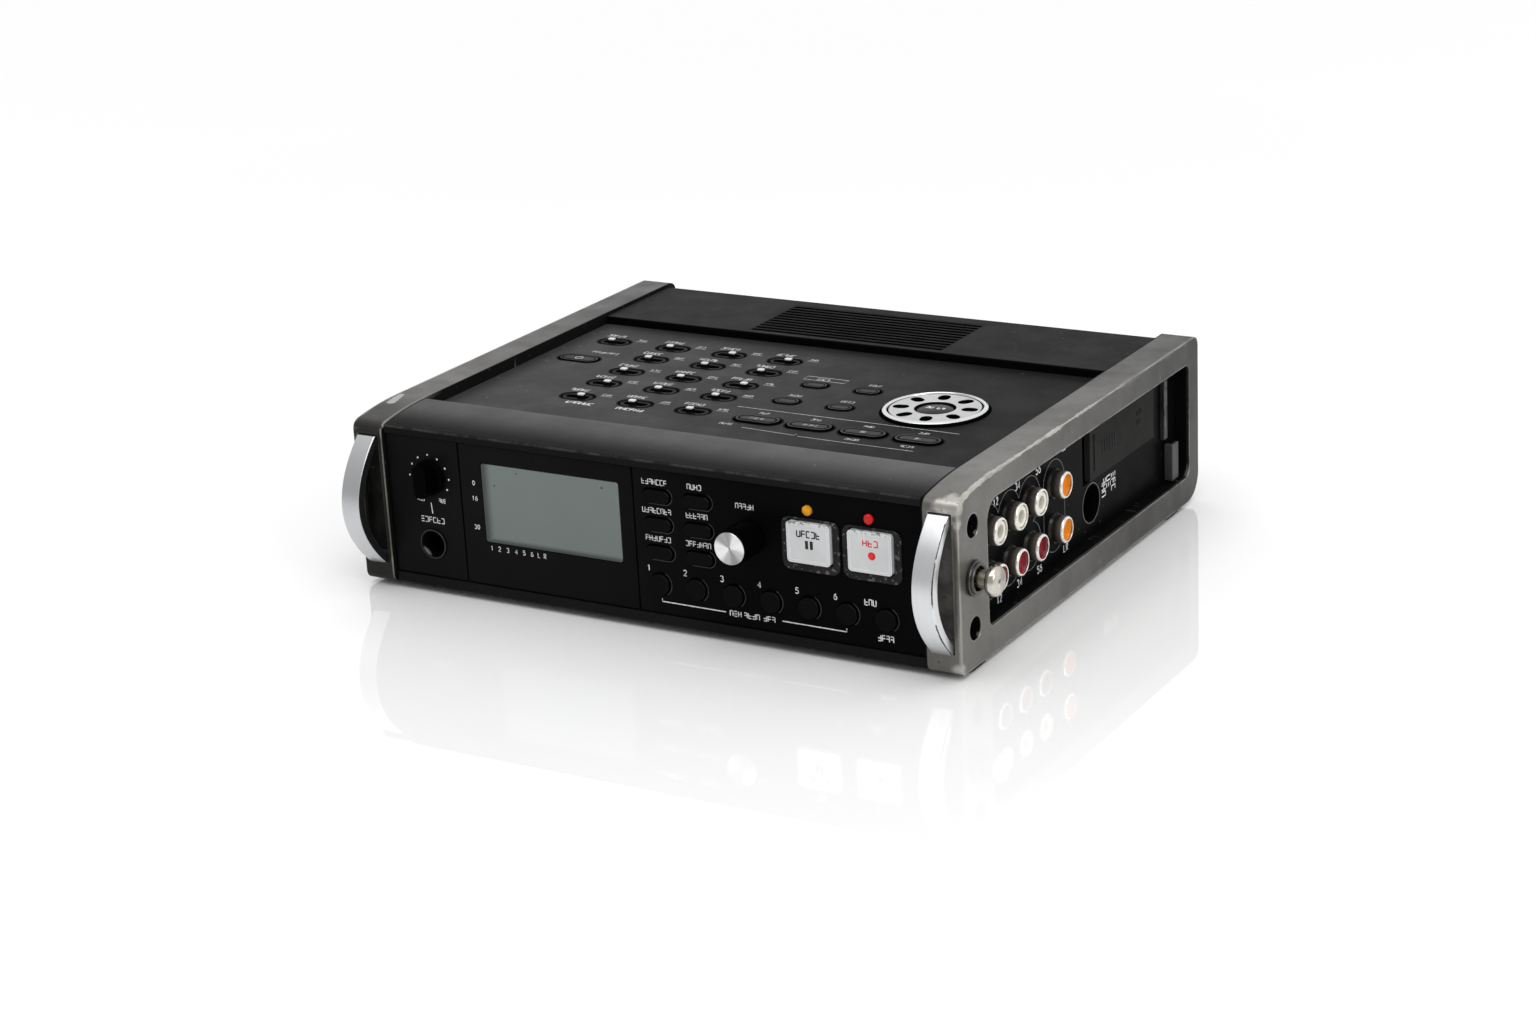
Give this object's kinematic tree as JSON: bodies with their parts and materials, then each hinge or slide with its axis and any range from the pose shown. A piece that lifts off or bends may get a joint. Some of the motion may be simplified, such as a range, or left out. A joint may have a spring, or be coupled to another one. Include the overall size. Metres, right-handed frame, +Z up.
{
  "type": "portable field recorder",
  "caption": "Flat portable audio recorder with bow handles on cast side frames, a display, keys, slide switches and side connectors.",
  "frame": {"origin": "centre of the footprint, handles and strap pins included, at the height of the feet", "axes": "+X to the right seen from the front, +Y from the front towards the back, +Z up"},
  "size_m": [0.2334, 0.1904, 0.0575],
  "materials": {
    "frame_paint": "warm grey paint, satin, worn bright along its edges",
    "satin_aluminium": "satin, brushed along the bar",
    "nickel": "turned and polished, slightly dulled",
    "cover_plastic": "fine textured dark grey",
    "tray_metal": "black satin paint",
    "fascia_plastic": "near-black satin",
    "button_plastic": "black, fine texture",
    "key_plastic": "milky translucent",
    "display_glass": "clear over an unlit grey-green display",
    "ring_metal": "satin silver",
    "board_laminate": "green laminate",
    "cell_wrap": "printed sleeve",
    "grey_plastic": "mid grey"
  },
  "bodies": {
    "recorder_body": {"side_frame_left": "frame_paint", "side_frame_right": "frame_paint", "handle_left": "satin_aluminium", "handle_right": "satin_aluminium", "strap_pin_left": "nickel", "strap_pin_right": "nickel", "top_cover": "cover_plastic", "bottom_tray": "tray_metal", "speaker_ring": "ring_metal", "front_panel": "fascia_plastic", "display_window": "display_glass", "connector_panel": "fascia_plastic", "input_panel": "fascia_plastic", "cord_hook": "grey_plastic", "main_board": "board_laminate", "battery_pack": "cell_wrap"},
    "value_dial": {"value_dial": "satin_aluminium"},
    "phones_level_knob": {"phones_level_knob": "button_plastic"},
    "power_button": {"power_button": "button_plastic"},
    "battery_lid": {"battery_lid": "cover_plastic"},
    "card_door": {"card_door": "grey_plastic"},
    "pause_key": {"pause_key": "key_plastic"},
    "rec_key": {"rec_key": "key_plastic"},
    "function_button_1": {"function_button_1": "button_plastic"},
    "function_button_2": {"function_button_2": "button_plastic"},
    "function_button_3": {"function_button_3": "button_plastic"},
    "function_button_4": {"function_button_4": "button_plastic"},
    "function_button_5": {"function_button_5": "button_plastic"},
    "function_button_6": {"function_button_6": "button_plastic"},
    "track_button_1": {"track_button_1": "button_plastic"},
    "track_button_2": {"track_button_2": "button_plastic"},
    "track_button_3": {"track_button_3": "button_plastic"},
    "track_button_4": {"track_button_4": "button_plastic"},
    "track_button_5": {"track_button_5": "button_plastic"},
    "track_button_6": {"track_button_6": "button_plastic"},
    "mix_button": {"mix_button": "button_plastic"},
    "menu_button_1": {"menu_button_1": "button_plastic"},
    "menu_button_2": {"menu_button_2": "button_plastic"},
    "menu_button_3": {"menu_button_3": "button_plastic"},
    "menu_button_4": {"menu_button_4": "button_plastic"},
    "transport_button_1": {"transport_button_1": "button_plastic"},
    "transport_button_2": {"transport_button_2": "button_plastic"},
    "transport_button_3": {"transport_button_3": "button_plastic"},
    "transport_button_4": {"transport_button_4": "button_plastic"},
    "slide_switch_a1": {"slide_switch_a1": "button_plastic"},
    "slide_switch_a2": {"slide_switch_a2": "button_plastic"},
    "slide_switch_a3": {"slide_switch_a3": "button_plastic"},
    "slide_switch_a4": {"slide_switch_a4": "button_plastic"},
    "slide_switch_b1": {"slide_switch_b1": "button_plastic"},
    "slide_switch_b2": {"slide_switch_b2": "button_plastic"},
    "slide_switch_b3": {"slide_switch_b3": "button_plastic"},
    "slide_switch_c1": {"slide_switch_c1": "button_plastic"},
    "slide_switch_c2": {"slide_switch_c2": "button_plastic"},
    "slide_switch_c3": {"slide_switch_c3": "button_plastic"},
    "slide_switch_d1": {"slide_switch_d1": "button_plastic"},
    "slide_switch_d2": {"slide_switch_d2": "button_plastic"},
    "slide_switch_d3": {"slide_switch_d3": "button_plastic"},
    "slide_switch_e1": {"slide_switch_e1": "button_plastic"},
    "slide_switch_e2": {"slide_switch_e2": "button_plastic"},
    "slide_switch_e3": {"slide_switch_e3": "button_plastic"}
  },
  "joints": [
    {"name": "pause_key_press", "type": "slide", "parent": "recorder_body", "child": "pause_key", "axis": [0, 1, 0], "range_m": [0, 0.0011], "stiffness_N_per_m": 500, "springref_m": -0.0004},
    {"name": "rec_key_press", "type": "slide", "parent": "recorder_body", "child": "rec_key", "axis": [0, 1, 0], "range_m": [0, 0.0011], "stiffness_N_per_m": 500, "springref_m": -0.0004},
    {"name": "function_button_1_press", "type": "slide", "parent": "recorder_body", "child": "function_button_1", "axis": [0, 1, 0], "range_m": [0, 0.0007], "stiffness_N_per_m": 400, "springref_m": -0.0004},
    {"name": "function_button_2_press", "type": "slide", "parent": "recorder_body", "child": "function_button_2", "axis": [0, 1, 0], "range_m": [0, 0.0007], "stiffness_N_per_m": 400, "springref_m": -0.0004},
    {"name": "function_button_3_press", "type": "slide", "parent": "recorder_body", "child": "function_button_3", "axis": [0, 1, 0], "range_m": [0, 0.0007], "stiffness_N_per_m": 400, "springref_m": -0.0004},
    {"name": "function_button_4_press", "type": "slide", "parent": "recorder_body", "child": "function_button_4", "axis": [0, 1, 0], "range_m": [0, 0.0007], "stiffness_N_per_m": 400, "springref_m": -0.0004},
    {"name": "function_button_5_press", "type": "slide", "parent": "recorder_body", "child": "function_button_5", "axis": [0, 1, 0], "range_m": [0, 0.0007], "stiffness_N_per_m": 400, "springref_m": -0.0004},
    {"name": "function_button_6_press", "type": "slide", "parent": "recorder_body", "child": "function_button_6", "axis": [0, 1, 0], "range_m": [0, 0.0007], "stiffness_N_per_m": 400, "springref_m": -0.0004},
    {"name": "track_button_1_press", "type": "slide", "parent": "recorder_body", "child": "track_button_1", "axis": [0, 1, 0], "range_m": [0, 0.0008], "stiffness_N_per_m": 400, "springref_m": -0.0004},
    {"name": "track_button_2_press", "type": "slide", "parent": "recorder_body", "child": "track_button_2", "axis": [0, 1, 0], "range_m": [0, 0.0008], "stiffness_N_per_m": 400, "springref_m": -0.0004},
    {"name": "track_button_3_press", "type": "slide", "parent": "recorder_body", "child": "track_button_3", "axis": [0, 1, 0], "range_m": [0, 0.0008], "stiffness_N_per_m": 400, "springref_m": -0.0004},
    {"name": "track_button_4_press", "type": "slide", "parent": "recorder_body", "child": "track_button_4", "axis": [0, 1, 0], "range_m": [0, 0.0008], "stiffness_N_per_m": 400, "springref_m": -0.0004},
    {"name": "track_button_5_press", "type": "slide", "parent": "recorder_body", "child": "track_button_5", "axis": [0, 1, 0], "range_m": [0, 0.0008], "stiffness_N_per_m": 400, "springref_m": -0.0004},
    {"name": "track_button_6_press", "type": "slide", "parent": "recorder_body", "child": "track_button_6", "axis": [0, 1, 0], "range_m": [0, 0.0008], "stiffness_N_per_m": 400, "springref_m": -0.0004},
    {"name": "mix_button_press", "type": "slide", "parent": "recorder_body", "child": "mix_button", "axis": [0, 1, 0], "range_m": [0, 0.0008], "stiffness_N_per_m": 400, "springref_m": -0.0004},
    {"name": "menu_button_1_press", "type": "slide", "parent": "recorder_body", "child": "menu_button_1", "axis": [0, 0, -1], "range_m": [0, 0.0005], "stiffness_N_per_m": 400, "springref_m": -0.0004},
    {"name": "menu_button_2_press", "type": "slide", "parent": "recorder_body", "child": "menu_button_2", "axis": [0, 0, -1], "range_m": [0, 0.0005], "stiffness_N_per_m": 400, "springref_m": -0.0004},
    {"name": "menu_button_3_press", "type": "slide", "parent": "recorder_body", "child": "menu_button_3", "axis": [0, 0, -1], "range_m": [0, 0.0005], "stiffness_N_per_m": 400, "springref_m": -0.0004},
    {"name": "menu_button_4_press", "type": "slide", "parent": "recorder_body", "child": "menu_button_4", "axis": [0, 0, -1], "range_m": [0, 0.0005], "stiffness_N_per_m": 400, "springref_m": -0.0004},
    {"name": "transport_button_1_press", "type": "slide", "parent": "recorder_body", "child": "transport_button_1", "axis": [0, 0, -1], "range_m": [0, 0.0008], "stiffness_N_per_m": 400, "springref_m": -0.0004},
    {"name": "transport_button_2_press", "type": "slide", "parent": "recorder_body", "child": "transport_button_2", "axis": [0, 0, -1], "range_m": [0, 0.0008], "stiffness_N_per_m": 400, "springref_m": -0.0004},
    {"name": "transport_button_3_press", "type": "slide", "parent": "recorder_body", "child": "transport_button_3", "axis": [0, 0, -1], "range_m": [0, 0.0008], "stiffness_N_per_m": 400, "springref_m": -0.0004},
    {"name": "transport_button_4_press", "type": "slide", "parent": "recorder_body", "child": "transport_button_4", "axis": [0, 0, -1], "range_m": [0, 0.0008], "stiffness_N_per_m": 400, "springref_m": -0.0004},
    {"name": "power_button_press", "type": "slide", "parent": "recorder_body", "child": "power_button", "axis": [0, 0, -1], "range_m": [0, 0.0005], "stiffness_N_per_m": 400, "springref_m": -0.0004},
    {"name": "slide_switch_a1_slide", "type": "slide", "parent": "recorder_body", "child": "slide_switch_a1", "axis": [1, 0, 0], "range_m": [0, 0.0025]},
    {"name": "slide_switch_a2_slide", "type": "slide", "parent": "recorder_body", "child": "slide_switch_a2", "axis": [1, 0, 0], "range_m": [0, 0.0025]},
    {"name": "slide_switch_a3_slide", "type": "slide", "parent": "recorder_body", "child": "slide_switch_a3", "axis": [1, 0, 0], "range_m": [-0.0025, 0]},
    {"name": "slide_switch_a4_slide", "type": "slide", "parent": "recorder_body", "child": "slide_switch_a4", "axis": [1, 0, 0], "range_m": [-0.0025, 0]},
    {"name": "slide_switch_b1_slide", "type": "slide", "parent": "recorder_body", "child": "slide_switch_b1", "axis": [1, 0, 0], "range_m": [0, 0.0025]},
    {"name": "slide_switch_b2_slide", "type": "slide", "parent": "recorder_body", "child": "slide_switch_b2", "axis": [1, 0, 0], "range_m": [0, 0.0025]},
    {"name": "slide_switch_b3_slide", "type": "slide", "parent": "recorder_body", "child": "slide_switch_b3", "axis": [1, 0, 0], "range_m": [0, 0.0025]},
    {"name": "slide_switch_c1_slide", "type": "slide", "parent": "recorder_body", "child": "slide_switch_c1", "axis": [1, 0, 0], "range_m": [0, 0.0025]},
    {"name": "slide_switch_c2_slide", "type": "slide", "parent": "recorder_body", "child": "slide_switch_c2", "axis": [1, 0, 0], "range_m": [0, 0.0025]},
    {"name": "slide_switch_c3_slide", "type": "slide", "parent": "recorder_body", "child": "slide_switch_c3", "axis": [1, 0, 0], "range_m": [-0.0025, 0]},
    {"name": "slide_switch_d1_slide", "type": "slide", "parent": "recorder_body", "child": "slide_switch_d1", "axis": [1, 0, 0], "range_m": [-0.0025, 0]},
    {"name": "slide_switch_d2_slide", "type": "slide", "parent": "recorder_body", "child": "slide_switch_d2", "axis": [1, 0, 0], "range_m": [0, 0.0025]},
    {"name": "slide_switch_d3_slide", "type": "slide", "parent": "recorder_body", "child": "slide_switch_d3", "axis": [1, 0, 0], "range_m": [0, 0.0025]},
    {"name": "slide_switch_e1_slide", "type": "slide", "parent": "recorder_body", "child": "slide_switch_e1", "axis": [1, 0, 0], "range_m": [-0.0025, 0]},
    {"name": "slide_switch_e2_slide", "type": "slide", "parent": "recorder_body", "child": "slide_switch_e2", "axis": [1, 0, 0], "range_m": [0, 0.0025]},
    {"name": "slide_switch_e3_slide", "type": "slide", "parent": "recorder_body", "child": "slide_switch_e3", "axis": [1, 0, 0], "range_m": [0, 0.0025]},
    {"name": "value_dial_turn", "type": "hinge", "parent": "recorder_body", "child": "value_dial", "pos_m": [0.0379, -0.0828, 0.0357], "axis": [0, 1, 0], "continuous": true},
    {"name": "phones_level_turn", "type": "hinge", "parent": "recorder_body", "child": "phones_level_knob", "pos_m": [-0.08, -0.0828, 0.0394], "axis": [0, 1, 0], "range_deg": [-140, 140]},
    {"name": "battery_lid_slide", "type": "slide", "parent": "recorder_body", "child": "battery_lid", "axis": [0, 1, 0], "range_m": [0, 0.045]},
    {"name": "card_door_hinge", "type": "hinge", "parent": "recorder_body", "child": "card_door", "pos_m": [0.1021, 0.0687, 0.0382], "axis": [0, 0, 1], "range_deg": [0, 100]}
  ]
}
